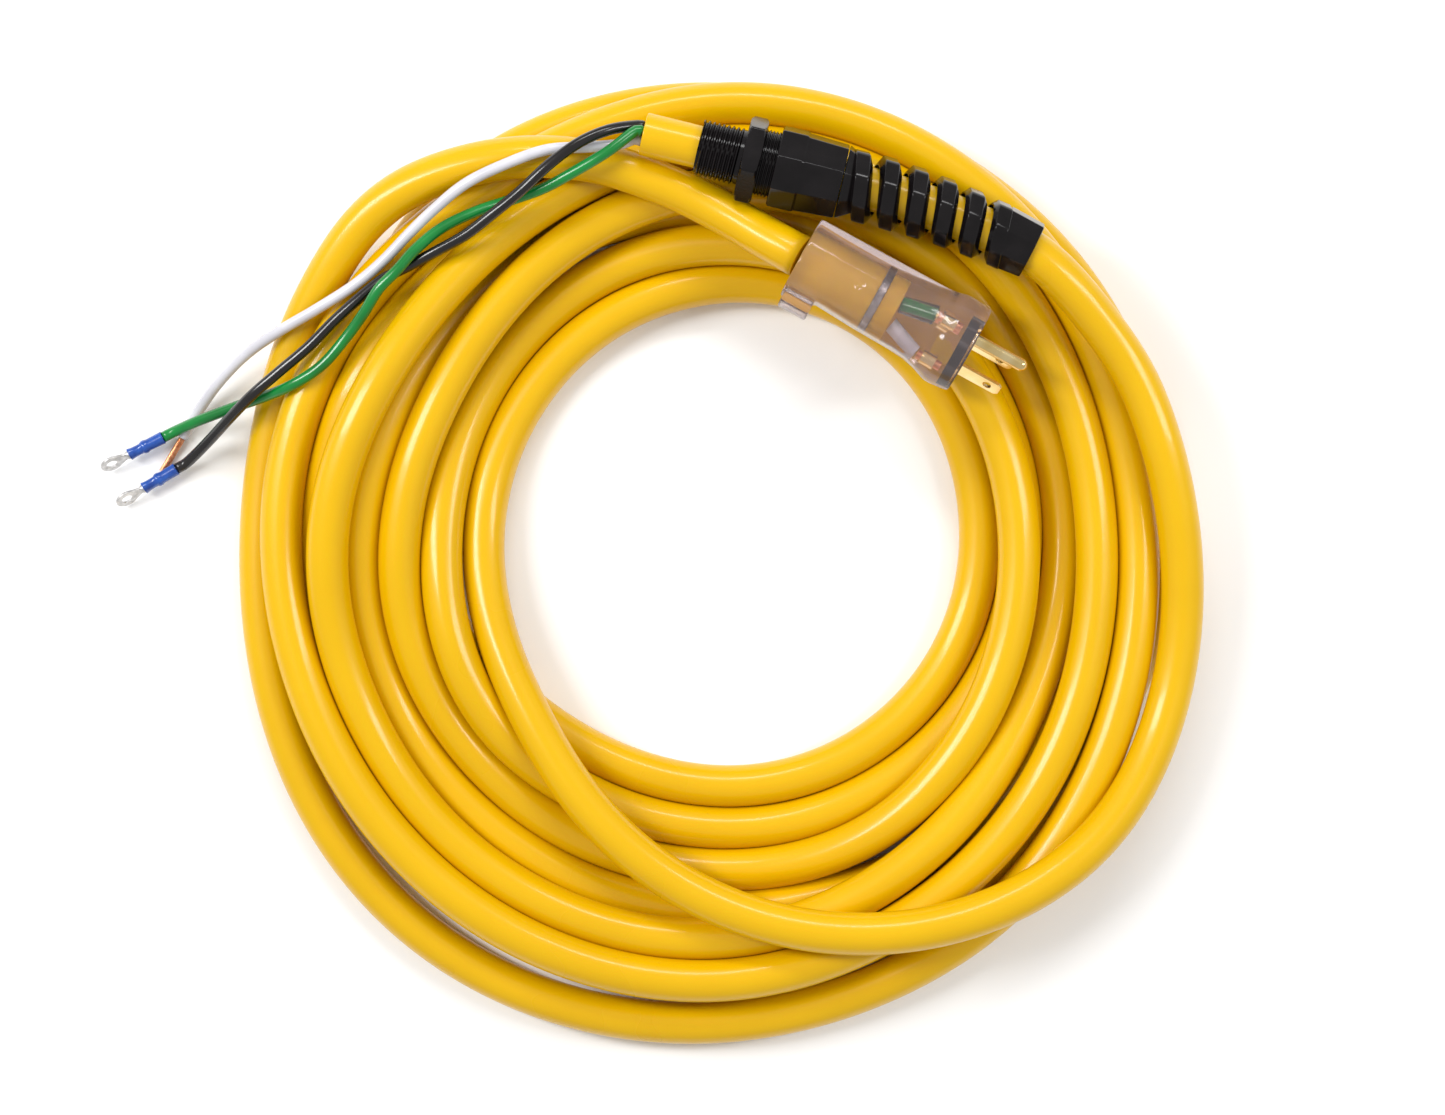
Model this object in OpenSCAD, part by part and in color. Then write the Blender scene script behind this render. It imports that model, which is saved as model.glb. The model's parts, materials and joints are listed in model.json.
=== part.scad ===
// Shore power cord: a coiled yellow cord with a clear moulded grounded plug on one end, and on the
// other end a black nylon thread-in strain relief with a spiral flex tail and three stripped leads.
// Millimetres, +Z up. The origin is the centre of the coil on the surface that it lies on.

/* [Cord] */
// Diameter of the yellow jacket
cord_d = 16; // [15.5:0.1:16.2]
// Outer radius of the coil
coil_outer_r = 183; // [182:1:188]
// Inner radius of the coil
coil_inner_r = 91; // [84:1:95]
// Height of the two layers of turns
coil_h = 30; // [28:1:31]
// Diameter of one insulated lead
lead_d = 4.2; // [3.8:0.1:4.3]
// Diameter of the copper strands in a lead
strand_d = 2.6; // [2.2:0.1:2.8]

/* [Strain relief] */
// Heading of the strain relief's axis, thread to tail
gland_yaw = -13.5; // [-15:0.5:-12]
// Height of the strain relief's axis
gland_z = 49; // [48:1:52]
// Outer diameter of the pipe thread at the hexagon
pipe_thread_d = 21.3; // [21:0.1:21.6]
// Length of the pipe thread
pipe_thread_len = 16.7; // [14:0.1:17]
// Pitch of the pipe thread
pipe_thread_pitch = 1.814; // [1.6:0.001:2]
// Width of the hexagon across its flats
hex_af = 29; // [28:0.5:30]
// Thickness of the hexagon
hex_len = 6.8; // [6:0.1:7.5]
// Outer diameter of the thread under the compression nut
nut_thread_d = 24.8; // [24:0.1:25]
// Pitch of the thread under the compression nut
nut_thread_pitch = 1.25; // [1:0.05:1.25]
// Width across corners of the nut's gripping section
nut_grip_d = 31.4; // [31:0.1:31.8]
// Width across corners of the nut's plain section where it starts
nut_barrel_d = 30.3; // [29:0.1:30.6]
// Width across corners where the nut ends and the flex tail starts
nut_end_d = 28.5; // [28:0.1:29]
// Width across corners of the flex tail's end collar
tail_end_d = 22; // [21.5:0.1:23]
// Pitch of the flex tail's spiral
tail_pitch = 10.9; // [10.5:0.1:11.2]
// Angle through which the flex tail bends with the cord
tail_bend = 13; // [11:1:14]

/* [Plug] */
// Heading of the plug's axis, cord to prongs
plug_yaw = -29; // [-30:0.5:-28]
// Height of the plug's axis
plug_z = 48.5; // [48.5:0.5:51]
// Turn of the plug about its own axis
plug_roll = 30; // [28:1:40]
// Length of the moulded body
plug_len = 71.4; // [70:0.1:73]
// Radius of the body where the cord enters
plug_back_r = 16; // [15.5:0.1:16.3]
// Radius of the flange round the prongs
plug_flange_r = 17.8; // [17.4:0.1:18]
// Reach of the finger tab from the plug's axis
plug_tab_r = 20; // [19.5:0.1:20.5]
// Distance from the blades' line to the centre of the ground pin
pin_offset = 11.9; // [11.8:0.1:12]
// Distance between the two blades' centres
blade_gap = 12.7; // [12.6:0.1:12.8]
// Width of one blade
blade_w = 6.35; // [6.2:0.05:6.5]
// Thickness of one blade
blade_t = 1.5; // [1.4:0.1:1.6]
// Length of the blades in front of the body
blade_len = 17; // [16:0.1:18]
// Diameter of the ground pin
pin_d = 4.8; // [4.7:0.1:4.9]
// Length of the ground pin in front of the body
pin_len = 21.3; // [20:0.1:22]

/* [Lead ends] */
// Outer diameter of a blue insulating sleeve
sleeve_d = 5; // [4.9:0.1:5.6]
// Length of a blue insulating sleeve
sleeve_len = 14.5; // [14:0.1:15]
// Outer diameter of a terminal's ring
ring_d = 8.8; // [8.4:0.1:9.2]
// Diameter of the stud hole in a terminal's ring
stud_hole_d = 4.4; // [4.2:0.1:4.6]

/* [Hidden] */

$fn = 48;
eps = 0.01;
cord_r = cord_d / 2;
yellow = "gold";
black_nylon = [0.07, 0.07, 0.08];
brass = [0.85, 0.68, 0.32];
copper = [0.80, 0.45, 0.25];
tin = [0.78, 0.78, 0.80];
sleeve_blue = [0.10, 0.30, 0.80];
coil_round = 8;

// Strain relief, along its own axis: 0 is the hexagon's face on the pipe thread's side
gland_pos = [7.4, 148.1, gland_z];
neck_r = pipe_thread_d / 2 + 0.1;
neck_len = 1.2;
hex_turn = 21;
facet_turn = -7;
facets = 8;
facet_half = 180 / facets;
jacket_cut = -37.7;
core_end = 41;
gland_bore_r = cord_r + 0.3;
counterbore_r = 10.3;
counterbore_from = 9;
nut_thread_from = hex_len;
nut_thread_to = 19;
nut_from = 12.4;
nut_grip_to = 22.6;
nut_to = 37.7;
nut_shoulder = 24.8;
nut_hole_r = 9.4;
nut_bore_r = nut_thread_d / 2 + 0.05;
seal_bore_r = cord_r + 0.06;
seal_r = counterbore_r - 0.08;
seal_head_r = 11.8;
washer_from = 23.2;
washer_to = nut_shoulder - 0.1;

// Flex tail: an arc of the bend's radius from the nut's end, with a spiral rib round it
tail_from = 38;
tail_to = 113;
tail_r = (tail_to - tail_from) / (tail_bend * PI / 180);
tail_bore_r = cord_r + 1.25;
rib_foot_r = tail_bore_r + 0.7;
tail_steps = 16;
spiral_from = 42.5;
spiral_start = 270;
spiral_turns = 5.75;
collar_from = 99.6;
rib_base = 8.4;
rib_flat = 4.8;

// Plug, along its own axis: 0 is the face that the prongs come out of
plug_face = [91.5, 76.7, plug_z];
prong_turn = 180 - plug_roll;
pin_x = pin_offset * 2 / 3;
blade_x = pin_x - pin_offset;
plug_jacket_to = -31;
wire_to = -17;
strand_to = -7;
crimp_from = -14;
crimp_to = -9;
crimp_r = 2.2;
bridge_from = -5.5;
bridge_to = -1.5;
band_at = -39;
band_w = 3;
band_r = 9.2;
wire_circle_r = 4;
pin_step = 0.1;
pin_shank_d = pin_d - 1;
pin_relief_d = pin_d + 0.2;
pin_relief = 0.5;
blade_hole_d = 3.2;
blade_hole_at = 11.8;
bridge_w = 17;
bridge_h = 9;
strand_from = wire_to + 0.7;
tab_w = 18;
tab_from = -plug_len + 1;
tab_len = 11.5;

// Places of the leads where they leave the cut jacket, across the strain relief's axis: up, sideways
black_at = [-1.5, 2.6];
white_at = [-1.5, -2.6];
green_at = [3, 0];

// Routes: the cord from the plug over the coil's top and round its left side
plug_run = [
    [21, 116, 46.5], [11, 122, 42], [0, 129, 39], [-13, 136, 37], [-28, 142, 37], [-46, 148, 38],
    [-65, 150, 38], [-85, 149, 37], [-103, 145, 34], [-119, 139, 31], [-133, 129, 27], [-144, 116, 23],
    [-153, 100, 19], [-160, 82, 15], [-167, 62, 12], [-171, 42, 10], [-174, 22, 9]
];
// The cord from the flex tail's collar over the coil's right side
gland_run = [
    [120, 110, 49], [128, 102, 47], [136, 93, 44], [144, 83, 41], [154, 69, 38], [161, 52, 38],
    [168, 29, 36], [172, 10, 31], [174, -8, 27], [174, -27, 25]
];
// The three leads, over the coil and its outer loop and down to the surface
black_run = [
    [-42, 158, 52], [-53, 153, 54], [-64, 145, 54], [-74, 136, 52], [-84, 128, 50], [-95, 120, 46],
    [-107, 114, 41], [-117, 109, 38], [-127, 104, 36.5], [-137, 96, 36], [-146, 88, 35], [-155, 79, 34],
    [-166, 70, 32], [-177, 61, 29], [-186, 53, 22], [-196, 44, 12],
    [-204.7, 36.6, 5.2], [-209, 34, 5.2]
];
white_run = [
    [-39, 153, 48], [-50, 152, 49], [-65, 151, 49], [-80, 146, 48], [-95, 139, 46], [-107, 130, 42],
    [-117, 121, 38], [-127, 111, 35.5], [-138, 102, 34], [-153, 93, 30], [-168, 85, 24], [-181, 77, 16],
    [-192, 67, 9.5], [-200, 57, 5], [-207, 46, 2.8]
];
green_run = [
    [-42, 150, 54], [-54, 143, 52], [-66, 137, 48], [-78, 133, 45], [-91, 129, 43], [-104, 123, 42],
    [-114, 115, 42], [-121, 107, 43], [-128, 100, 42], [-134, 91, 39], [-141, 82, 36], [-150, 72, 34.5],
    [-161, 65, 32], [-172, 61, 25], [-185, 57, 18], [-200, 52, 11],
    [-209.5, 48.3, 5.5], [-214, 46, 5.5]
];
black_end = black_run[len(black_run) - 1];
green_end = green_run[len(green_run) - 1];
white_end = white_run[len(white_run) - 1];
bare_copper_tip = [-215, 33, 1.5];
lead_gap = 0.1;
lead_straight = 3;
copper_gap = 0.5;
black_heading = 211;
green_heading = 207;
barrel_from = 5;
barrel_r = 1.85;
waist = 0.2;
terminal_roll = 25;
ring_reach = 7.6;
ring_at = sleeve_len + ring_reach;
copper_tip_len = sleeve_len - 1.7;
tongue_t = 0.9;
tongue_w = 4;

// ---------- shared shapes ----------

function unit(v) = v / norm(v);
function heading(path, i) = unit(path[min(i + 1, len(path) - 1)] - path[max(i - 1, 0)]);
function section(centre, ahead, r, sides) =
    let (side = unit(cross(ahead, [0, 0, 1])), up = cross(side, ahead))
    [for (k = [0:sides - 1]) centre + r * (cos(360 * k / sides) * side + sin(360 * k / sides) * up)];

// One closed solid from a row of sections with n points each
function skin_faces(rows, n) = concat(
    [[for (k = [0:n - 1]) k]],
    [for (i = [0:rows - 2]) for (k = [0:n - 1]) [i * n + k, (i + 1) * n + k, (i + 1) * n + (k + 1) % n]],
    [for (i = [0:rows - 2]) for (k = [0:n - 1]) [i * n + k, (i + 1) * n + (k + 1) % n, i * n + (k + 1) % n]],
    [[for (k = [n - 1:-1:0]) (rows - 1) * n + k]]
);

module tube(path, d, sides) {
    points = [for (i = [0:len(path) - 1]) each section(path[i], heading(path, i), d / 2, sides)];
    polyhedron(points, skin_faces(len(path), sides));
}

// A straight rod between two points
module rod(from, to, d) {
    along = to - from;
    translate(from)
    rotate([0, acos(along.z / norm(along)), atan2(along.y, along.x)])
    cylinder(d = d, h = norm(along));
}

// Profile of a row of thread ridges, as points from the root to the crest
function thread_row(from, to, pitch, root, crest) = [
    for (i = [0:floor((to - from) / pitch) - 1]) each [
        [root, from + i * pitch],
        [crest, from + (i + 0.38) * pitch],
        [crest, from + (i + 0.55) * pitch],
        [root, from + (i + 0.93) * pitch]
    ]
];

module ring_solid(r_in, r_out, from, to) {
    translate([0, 0, from])
    difference() {
        cylinder(r = r_out, h = to - from);
        translate([0, 0, -1]) cylinder(r = r_in, h = to - from + 2);
    }
}

module at_gland() {
    translate(gland_pos) rotate([0, 0, gland_yaw]) rotate([0, 90, 0]) children();
}

module at_plug() {
    translate(plug_face) rotate([0, 0, plug_yaw]) rotate([0, 90, 0]) children();
}

module at_prongs() {
    at_plug() rotate([0, 0, prong_turn]) children();
}

// The same placing as at_gland(), for a point: up, left and along the axis
function gland_point(up, left, along) = gland_pos
    + along * [cos(gland_yaw), sin(gland_yaw), 0]
    + left * [-sin(gland_yaw), cos(gland_yaw), 0]
    + [0, 0, up];
function plug_point(along) = plug_face + along * [cos(plug_yaw), sin(plug_yaw), 0];
function bend_at(along) = (along - tail_from) / tail_r * 180 / PI;
function tail_point(along) =
    gland_point(0, -tail_r * (1 - cos(bend_at(along))), tail_from + tail_r * sin(bend_at(along)));

// ---------- cord ----------

module cord_coil() {
    color(yellow)
    rotate_extrude($fn = 96) {
        translate([coil_inner_r, coil_round]) square([coil_outer_r - coil_inner_r, coil_h - 2 * coil_round]);
        translate([coil_inner_r + coil_round, 0])
        square([coil_outer_r - coil_inner_r - 2 * coil_round, coil_h]);
        for (r = [coil_inner_r + coil_round, coil_outer_r - coil_round], z = [coil_round, coil_h - coil_round])
            translate([r, z]) circle(r = coil_round);
    }
}

module cord_plug_run() {
    color(yellow) tube(concat([plug_point(-plug_len)], plug_run), cord_d, 12);
}

module cord_gland_run() {
    in_tail = [for (along = [core_end, 59, 77, 95, tail_to]) tail_point(along)];
    color(yellow) tube(concat(in_tail, gland_run), cord_d, 12);
}

// The straight length of cord through the strain relief, out to the cut end of its jacket
module cord_gland_core() {
    color(yellow) at_gland() translate([0, 0, jacket_cut]) cylinder(d = cord_d, h = core_end - jacket_cut);
}

// ---------- strain relief ----------

module gland_body() {
    pipe_root = pipe_thread_d / 2 - 1.1;
    nut_root = nut_thread_d / 2 - 0.75;
    color(black_nylon) at_gland() difference() {
        union() {
            rotate_extrude() polygon(concat(
                [[0, -pipe_thread_len], [pipe_root - 0.5, -pipe_thread_len]],
                thread_row(-pipe_thread_len + 0.6, -neck_len, pipe_thread_pitch, pipe_root, pipe_thread_d / 2),
                [[pipe_root, -neck_len], [neck_r, -neck_len], [neck_r, 1], [0, 1]]
            ));
            rotate([0, 0, hex_turn]) intersection() {
                cylinder(d = hex_af / cos(30), h = hex_len, $fn = 6);
                rotate_extrude() polygon([
                    [0, 0], [hex_af / 2 + 0.6, 0], [hex_af / cos(30) / 2, 1],
                    [hex_af / cos(30) / 2, hex_len - 1], [hex_af / 2 + 0.6, hex_len], [0, hex_len]
                ]);
            }
            rotate_extrude() polygon(concat(
                [[0, nut_thread_from - 1], [nut_root, nut_thread_from - 1]],
                thread_row(nut_thread_from + 0.3, nut_thread_to, nut_thread_pitch, nut_root, nut_thread_d / 2),
                [[nut_root, nut_thread_to], [0, nut_thread_to]]
            ));
        }
        translate([0, 0, -pipe_thread_len - 1]) cylinder(r = gland_bore_r, h = pipe_thread_len + nut_thread_to);
        translate([0, 0, counterbore_from]) cylinder(r = counterbore_r, h = nut_thread_to);
    }
}

module seal_bushing() {
    color("dimgray") at_gland() {
        ring_solid(seal_bore_r, seal_r, counterbore_from + 0.5, nut_thread_to + 0.5);
        ring_solid(seal_bore_r, seal_head_r, nut_thread_to + 0.4, washer_from - 0.1);
    }
}

module slip_washer() {
    color("whitesmoke") at_gland() ring_solid(gland_bore_r, seal_head_r, washer_from, washer_to);
}

module compression_nut() {
    color(black_nylon) at_gland() difference() {
        rotate([0, 0, facet_turn]) {
            translate([0, 0, nut_from]) cylinder(d = nut_grip_d, h = nut_grip_to - nut_from, $fn = facets);
            translate([0, 0, nut_grip_to - eps])
            cylinder(d1 = nut_barrel_d, d2 = nut_end_d, h = nut_to - nut_grip_to, $fn = facets);
        }
        translate([0, 0, nut_from - 1]) cylinder(r = nut_bore_r, h = nut_shoulder - nut_from + 1);
        translate([0, 0, nut_from]) cylinder(r = nut_hole_r, h = nut_to);
    }
}

// Half width of the flex tail's outline at a distance along it
function tail_outline(along) =
    (nut_end_d + (tail_end_d + 2.4 - nut_end_d) * (along - tail_from) / (collar_from - tail_from)) / 2;
// Radius of a regular outline with flats, at an angle from a flat's middle
function flats(corner_r, angle) =
    corner_r * cos(facet_half) / cos((angle % (2 * facet_half)) - facet_half);

// Corners of the spiral rib's section, as a radius and a distance along the tail
function rib_section(angle, along) =
    let (outer = flats(tail_outline(along), angle))
    [
        [tail_bore_r, along + rib_base / 2], [rib_foot_r, along + rib_base / 2],
        [outer, along + rib_flat / 2], [outer, along - rib_flat / 2],
        [rib_foot_r, along - rib_base / 2], [tail_bore_r, along - rib_base / 2]
    ];
// A point of the tail in the strain relief's turned frame, where the axis is +Z and up is -X
function on_tail(r, angle, along) =
    let (bend = bend_at(along), out = -r * sin(angle))
    [
        -r * cos(angle),
        -tail_r * (1 - cos(bend)) + out * cos(bend),
        tail_from + tail_r * sin(bend) + out * sin(bend)
    ];

module spiral_rib() {
    steps = spiral_turns * tail_steps;
    points = [
        for (i = [0:steps]) let (angle = spiral_start + 360 * i / tail_steps)
        for (p = rib_section(angle + facet_half, spiral_from + tail_pitch * i / tail_steps))
        on_tail(p[0], angle + facet_half + facet_turn, p[1])
    ];
    polyhedron(points, skin_faces(steps + 1, 6));
}

module tail_ring(from, to, d_from, d_to) {
    translate([0, -tail_r, tail_from]) rotate([bend_at(from), 0, 0]) translate([0, tail_r, 0])
    difference() {
        rotate([0, 0, facet_turn]) cylinder(d1 = d_from, d2 = d_to, h = to - from, $fn = facets);
        translate([0, 0, -1]) cylinder(r = tail_bore_r, h = to - from + 2);
    }
}

module flex_tail() {
    color(black_nylon) at_gland() {
        tail_ring(tail_from, 43.5, nut_end_d, 22.5);
        spiral_rib();
        tail_ring(collar_from, tail_to, tail_end_d + 2, tail_end_d);
    }
}

// ---------- leads ----------

module lead(at, run, d) {
    straight = [for (back = [lead_gap, lead_straight]) gland_point(at[0], at[1], jacket_cut - back)];
    tube(concat(straight, run), d, 8);
}

module lead_black() {
    color([0.08, 0.08, 0.08]) lead(black_at, black_run, lead_d);
}

module lead_white() {
    color("white") lead(white_at, white_run, lead_d);
}

module lead_green() {
    color("green") lead(green_at, green_run, lead_d);
}

module bare_copper_white() {
    color(copper) rod(white_end + unit(bare_copper_tip - white_end) * copper_gap, bare_copper_tip, strand_d);
}

// A lead's end, lying along its heading with the sleeve's mouth at the origin
module at_lead_end(end, angle) {
    translate(end) rotate([0, 0, angle]) rotate([0, 90, 0]) children();
}

module sleeve() {
    difference() {
        rotate_extrude() polygon([
            [0, 0.1], [sleeve_d / 2, 0.1], [sleeve_d / 2, 8.5], [sleeve_d / 2 - waist, 9.5],
            [sleeve_d / 2 - waist, 12.5], [sleeve_d / 2, 13.5], [sleeve_d / 2, sleeve_len], [0, sleeve_len]
        ]);
        translate([0, 0, -1]) cylinder(r = barrel_r, h = sleeve_len + 2);
    }
}

// The flat of the ring stands steeply, turned by the roll from upright
module ring_terminal() {
    rotate([0, 0, terminal_roll]) difference() {
        union() {
            translate([0, 0, barrel_from]) cylinder(r = barrel_r, h = sleeve_len + 1 - barrel_from);
            translate([-tongue_w / 2, -tongue_t / 2, sleeve_len]) cube([tongue_w, tongue_t, ring_at - sleeve_len]);
            translate([0, 0, ring_at]) rotate([90, 0, 0])
            cylinder(d = ring_d, h = tongue_t, center = true);
        }
        translate([0, 0, barrel_from - 1]) cylinder(d = strand_d, h = sleeve_len - barrel_from);
        translate([0, 0, ring_at]) rotate([90, 0, 0])
        cylinder(d = stud_hole_d, h = 4, center = true);
    }
}

module copper_tip() {
    translate([0, 0, copper_gap]) cylinder(d = strand_d, h = copper_tip_len);
}

module sleeve_black() {
    color(sleeve_blue) at_lead_end(black_end, black_heading) sleeve();
}

module sleeve_green() {
    color(sleeve_blue) at_lead_end(green_end, green_heading) sleeve();
}

module ring_terminal_black() {
    color(tin) at_lead_end(black_end, black_heading) ring_terminal();
}

module ring_terminal_green() {
    color(tin) at_lead_end(green_end, green_heading) ring_terminal();
}

module copper_tip_black() {
    color(copper) at_lead_end(black_end, black_heading) copper_tip();
}

module copper_tip_green() {
    color(copper) at_lead_end(green_end, green_heading) copper_tip();
}

// ---------- plug ----------

// Where a wire leaves the cord's end inside the plug
function wire_start(angle) = [wire_circle_r * cos(angle), wire_circle_r * sin(angle), plug_jacket_to + 0.9];

module wire(angle, x, y) {
    rod(wire_start(angle), [x, y, wire_to], lead_d);
}

module strands(x, y) {
    translate([x, y, strand_from]) cylinder(d = strand_d, h = strand_to - strand_from);
}

module crimp(x, y) {
    translate([x, y, 0]) ring_solid(strand_d / 2, crimp_r, crimp_from, crimp_to);
}

module blade(y) {
    translate([blade_x, y, 0]) difference() {
        translate([-blade_w / 2, -blade_t / 2, bridge_from])
        cube([blade_w, blade_t, blade_len - bridge_from]);
        translate([0, 0, blade_hole_at]) rotate([90, 0, 0]) cylinder(d = blade_hole_d, h = 4, center = true);
    }
}

module pin() {
    translate([pin_x, 0, 0]) {
        translate([0, 0, bridge_from]) cylinder(d = pin_shank_d, h = pin_step - bridge_from + eps);
        translate([0, 0, pin_step]) cylinder(d = pin_d, h = pin_len - pin_d / 2 - pin_step);
        translate([0, 0, pin_len - pin_d / 2]) sphere(d = pin_d);
    }
}

module bridge_block() {
    thick = bridge_to - bridge_from;
    translate([blade_x - bridge_h / 2, -bridge_w / 2, bridge_from]) cube([bridge_h, bridge_w, thick]);
    translate([blade_x, -bridge_h / 2, bridge_from]) cube([pin_offset + 1, bridge_h, thick]);
    translate([pin_x, 0, bridge_from]) cylinder(d = bridge_h, h = thick);
}

module plug_cord_end() {
    color(yellow) at_plug()
    translate([0, 0, -plug_len]) cylinder(d = cord_d, h = plug_len + plug_jacket_to);
}

module plug_band() {
    color("dimgray") at_plug() ring_solid(cord_r, band_r, band_at - band_w / 2, band_at + band_w / 2);
}

module prong_bridge() {
    color(black_nylon) at_prongs() difference() {
        bridge_block();
        pin();
        for (side = [-1, 1]) blade(side * blade_gap / 2);
    }
}

module ground_pin() {
    color(brass) at_prongs() pin();
}

module line_blade() {
    color(brass) at_prongs() blade(-blade_gap / 2);
}

module neutral_blade() {
    color(brass) at_prongs() blade(blade_gap / 2);
}

module plug_wire_green() {
    color("green") at_prongs() wire(0, pin_x, 0);
}

module plug_wire_black() {
    color([0.08, 0.08, 0.08]) at_prongs() wire(-120, blade_x, -blade_gap / 2);
}

module plug_wire_white() {
    color("white") at_prongs() wire(120, blade_x, blade_gap / 2);
}

module plug_strands() {
    color(copper) at_prongs() {
        strands(pin_x, 0);
        for (side = [-1, 1]) strands(blade_x, side * blade_gap / 2);
    }
}

module crimp_ground() {
    color(brass) at_prongs() crimp(pin_x, 0);
}

module crimp_line() {
    color(brass) at_prongs() crimp(blade_x, -blade_gap / 2);
}

module crimp_neutral() {
    color(brass) at_prongs() crimp(blade_x, blade_gap / 2);
}

// The clear moulding's outside: a round body, a tab to pull on, and a finger recess behind the flange
module plug_outside() {
    difference() {
        union() {
            rotate_extrude() polygon([
                [0, -plug_len], [plug_back_r - 0.6, -plug_len], [plug_back_r, -plug_len + 0.8],
                [plug_back_r + 0.3, -20], [plug_back_r + 0.6, -15], [plug_flange_r, -9.5],
                [plug_flange_r - 0.4, -3], [plug_flange_r - 0.8, -0.4], [plug_flange_r - 1.2, 0], [0, 0]
            ]);
            translate([0, 0, tab_from]) intersection() {
                cylinder(r = plug_tab_r, h = tab_len);
                translate([-tab_w / 2, -plug_tab_r - 1, 0]) cube([tab_w, plug_tab_r + 1, tab_len]);
            }
        }
        rotate([90, 0, 90]) translate([0, 0, -30]) linear_extrude(60) polygon([
            [-12.4, -58.8], [-13.3, -42], [-13.7, -26], [-14.3, -20], [-15.6, -15.5], [-17.3, -11.5],
            [-18.6, -9], [-30, -9], [-30, -58.8]
        ]);
    }
}

module plug_body() {
    color([0.86, 0.76, 0.74, 0.5]) difference() {
        at_plug() plug_outside();
        at_plug() translate([0, 0, -plug_len - 1]) cylinder(d = cord_d, h = plug_len + plug_jacket_to + 1);
        plug_band();
        at_prongs() bridge_block();
        at_prongs() pin();
        at_prongs() translate([pin_x, 0, -pin_relief]) cylinder(d = pin_relief_d, h = 2 * pin_relief);
        at_prongs() for (side = [-1, 1]) blade_slot(side * blade_gap / 2);
        at_prongs() wire(0, pin_x, 0);
        at_prongs() wire(120, blade_x, blade_gap / 2);
        at_prongs() wire(-120, blade_x, -blade_gap / 2);
        at_prongs() strand_slot(pin_x, 0);
        at_prongs() for (side = [-1, 1]) strand_slot(blade_x, side * blade_gap / 2);
    }
}

module blade_slot(y) {
    translate([blade_x - blade_w / 2, y - blade_t / 2, bridge_from]) cube([blade_w, blade_t, 10]);
}

module strand_slot(x, y) {
    translate([x, y, strand_from]) cylinder(d = strand_d, h = strand_to - strand_from);
    translate([x, y, crimp_from]) cylinder(r = crimp_r, h = crimp_to - crimp_from);
}

cord_coil();
cord_plug_run();
cord_gland_run();
cord_gland_core();
gland_body();
seal_bushing();
slip_washer();
compression_nut();
flex_tail();
lead_black();
lead_white();
lead_green();
bare_copper_white();
copper_tip_black();
copper_tip_green();
sleeve_black();
sleeve_green();
ring_terminal_black();
ring_terminal_green();
plug_body();
plug_cord_end();
plug_band();
prong_bridge();
ground_pin();
line_blade();
neutral_blade();
plug_wire_green();
plug_wire_black();
plug_wire_white();
plug_strands();
crimp_ground();
crimp_line();
crimp_neutral();
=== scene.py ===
"""Shore power cord: the looks.

The turns of the coil are worked out strand by strand and then settled on each other. The strain
relief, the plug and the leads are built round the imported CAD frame. Lengths are in metres.
"""
import json
import math

import bmesh
import bpy
import numpy as np
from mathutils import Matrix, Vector


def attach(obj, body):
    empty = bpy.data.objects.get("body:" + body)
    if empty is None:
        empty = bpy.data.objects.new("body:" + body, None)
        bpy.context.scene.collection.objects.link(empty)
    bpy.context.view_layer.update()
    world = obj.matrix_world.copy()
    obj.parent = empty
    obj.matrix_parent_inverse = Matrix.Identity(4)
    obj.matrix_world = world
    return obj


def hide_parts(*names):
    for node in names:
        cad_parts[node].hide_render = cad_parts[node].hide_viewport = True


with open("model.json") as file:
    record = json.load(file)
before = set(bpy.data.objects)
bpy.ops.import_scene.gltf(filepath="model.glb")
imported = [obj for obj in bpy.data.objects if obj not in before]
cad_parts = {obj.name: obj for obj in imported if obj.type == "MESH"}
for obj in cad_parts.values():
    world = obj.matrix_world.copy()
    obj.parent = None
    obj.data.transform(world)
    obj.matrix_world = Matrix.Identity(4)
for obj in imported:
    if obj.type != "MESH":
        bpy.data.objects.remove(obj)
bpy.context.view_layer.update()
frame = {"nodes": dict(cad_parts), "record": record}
MM = 0.001

# ---------- driving sizes ----------

CORD_D = 16 * MM
LEAD_D = 4.2 * MM
STRAND_D = 2.6 * MM

# Strain relief's frame: heading, place of the hexagon's face, and the flex tail's bend. Distances
# along it are from the hexagon's face, positive towards the flex tail, and after TAIL_R they and the
# radii are in millimetres.
GLAND_YAW = math.radians(-13.5)
GLAND_AT = np.array((7.4, 148.1, 49)) * MM
TAIL_FROM = 38 * MM
TAIL_TO = 113 * MM
TAIL_BEND = math.radians(13)
TAIL_R = (TAIL_TO - TAIL_FROM) / TAIL_BEND
CORE_END = 41
JACKET_CUT = -37.7
HEX_AF = 29
HEX_LEN = 6.8
HEX_BORE_R = 8.4
HEX_TURN = math.radians(21)
FACET_TURN = math.radians(-7)
FACETS = 8
TAIL_BORE_R = 9.25
RIB_FOOT_R = 9.95
SPIRAL_FROM = 42.5
SPIRAL_START = math.radians(270)
SPIRAL_PITCH = 10.9
SPIRAL_TURNS = 5.75
COLLAR_FROM = 99.6

# Plug's frame: heading, place of its face, and its roll. The sizes after them are in millimetres,
# and distances along it are from its face, negative towards the cord.
PLUG_YAW = math.radians(-29)
PLUG_AT = np.array((91.5, 76.7, 48.5)) * MM
PRONG_TURN = math.radians(180 - 30)
PLUG_LEN = 71.4
PIN_X = 11.9 * 2 / 3
BLADE_X = PIN_X - 11.9
BLADE_GAP = 12.7
# The finger tab's ends, reach and half width, and where the finger recess ahead of it ends
TAB_FROM = -70.4
TAB_TO = -58.85
TAB_REACH = 20
TAB_HALF_W = 9
RECESS_TO = -8.8

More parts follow.
